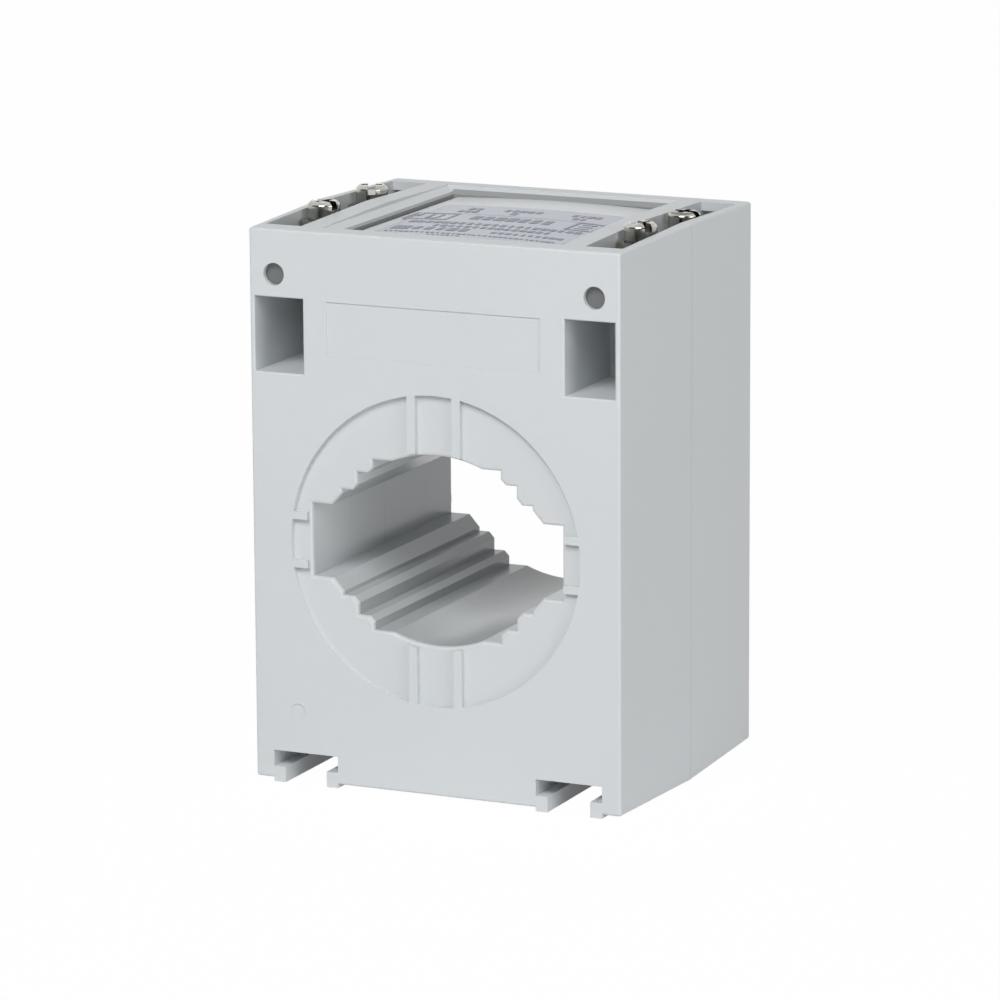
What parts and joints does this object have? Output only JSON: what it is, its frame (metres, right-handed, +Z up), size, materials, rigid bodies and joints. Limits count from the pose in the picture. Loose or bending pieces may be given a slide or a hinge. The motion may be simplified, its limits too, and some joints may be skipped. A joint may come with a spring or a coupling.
{
  "type": "current transformer",
  "caption": "Grey moulded window-type current transformer with a stepped busbar window, screw terminals on top and mounting grooves below.",
  "frame": {"origin": "middle of the footprint, on the plane that the mounting lips stand on", "axes": "+X to the right across the front face, +Y from the front face to the rear face along the busbar, +Z up to the terminals"},
  "size_m": [0.0612, 0.0506, 0.0863],
  "materials": {
    "case_grey": "fine satin moulded plastic, light grey",
    "plate_grey": "smooth light grey plastic",
    "label_film": "glossy blue-grey printed film",
    "core_steel": "strip-wound silicon steel",
    "insulation": "pressboard",
    "enamelled_wire": "enamelled copper wire",
    "tape": "polyester tape",
    "lead_sleeving": "woven insulating sleeving",
    "nickel_plate": "nickel-plated brass",
    "nickel_screw": "nickel-plated steel"
  },
  "bodies": {
    "root": {"front_shell": "case_grey", "rear_shell": "case_grey", "label_plate": "plate_grey", "rating_label": "label_film", "ring_core": "core_steel", "core_cap_front": "insulation", "core_cap_rear": "insulation", "secondary_winding": "enamelled_wire", "winding_tape": "tape", "lead_wire_left": "enamelled_wire", "lead_wire_right": "enamelled_wire", "lead_sleeve_left": "lead_sleeving", "lead_sleeve_right": "lead_sleeving", "contact_bar_left": "nickel_plate", "contact_bar_right": "nickel_plate"},
    "clamp_front_left": {"clamp_cage_front_left": "nickel_plate"},
    "screw_front_left": {"terminal_screw_front_left": "nickel_screw"},
    "clamp_rear_left": {"clamp_cage_rear_left": "nickel_plate"},
    "screw_rear_left": {"terminal_screw_rear_left": "nickel_screw"},
    "clamp_front_right": {"clamp_cage_front_right": "nickel_plate"},
    "screw_front_right": {"terminal_screw_front_right": "nickel_screw"},
    "clamp_rear_right": {"clamp_cage_rear_right": "nickel_plate"},
    "screw_rear_right": {"terminal_screw_rear_right": "nickel_screw"}
  },
  "joints": [
    {"name": "screw_turn_front_left", "type": "hinge", "parent": "root", "child": "screw_front_left", "pos_m": [-0.02595, -0.00825, 0.08357], "axis": [0, 0, 1], "range_deg": [0, 2352]},
    {"name": "clamp_lift_front_left", "type": "slide", "parent": "root", "child": "clamp_front_left", "axis": [0, 0, 1], "range_m": [-0.0039, 0]},
    {"name": "screw_turn_rear_left", "type": "hinge", "parent": "root", "child": "screw_rear_left", "pos_m": [-0.02595, 0.00825, 0.08357], "axis": [0, 0, 1], "range_deg": [0, 2352]},
    {"name": "clamp_lift_rear_left", "type": "slide", "parent": "root", "child": "clamp_rear_left", "axis": [0, 0, 1], "range_m": [-0.0039, 0]},
    {"name": "screw_turn_front_right", "type": "hinge", "parent": "root", "child": "screw_front_right", "pos_m": [0.02595, -0.00825, 0.08357], "axis": [0, 0, 1], "range_deg": [0, 2352]},
    {"name": "clamp_lift_front_right", "type": "slide", "parent": "root", "child": "clamp_front_right", "axis": [0, 0, 1], "range_m": [-0.0039, 0]},
    {"name": "screw_turn_rear_right", "type": "hinge", "parent": "root", "child": "screw_rear_right", "pos_m": [0.02595, 0.00825, 0.08357], "axis": [0, 0, 1], "range_deg": [0, 2352]},
    {"name": "clamp_lift_rear_right", "type": "slide", "parent": "root", "child": "clamp_rear_right", "axis": [0, 0, 1], "range_m": [-0.0039, 0]}
  ],
  "couplings": [
    {"joint": "screw_turn_front_left", "follows": "clamp_lift_front_left", "rad_per_m": -10472},
    {"joint": "screw_turn_rear_left", "follows": "clamp_lift_rear_left", "rad_per_m": -10472},
    {"joint": "screw_turn_front_right", "follows": "clamp_lift_front_right", "rad_per_m": -10472},
    {"joint": "screw_turn_rear_right", "follows": "clamp_lift_rear_right", "rad_per_m": -10472}
  ]
}
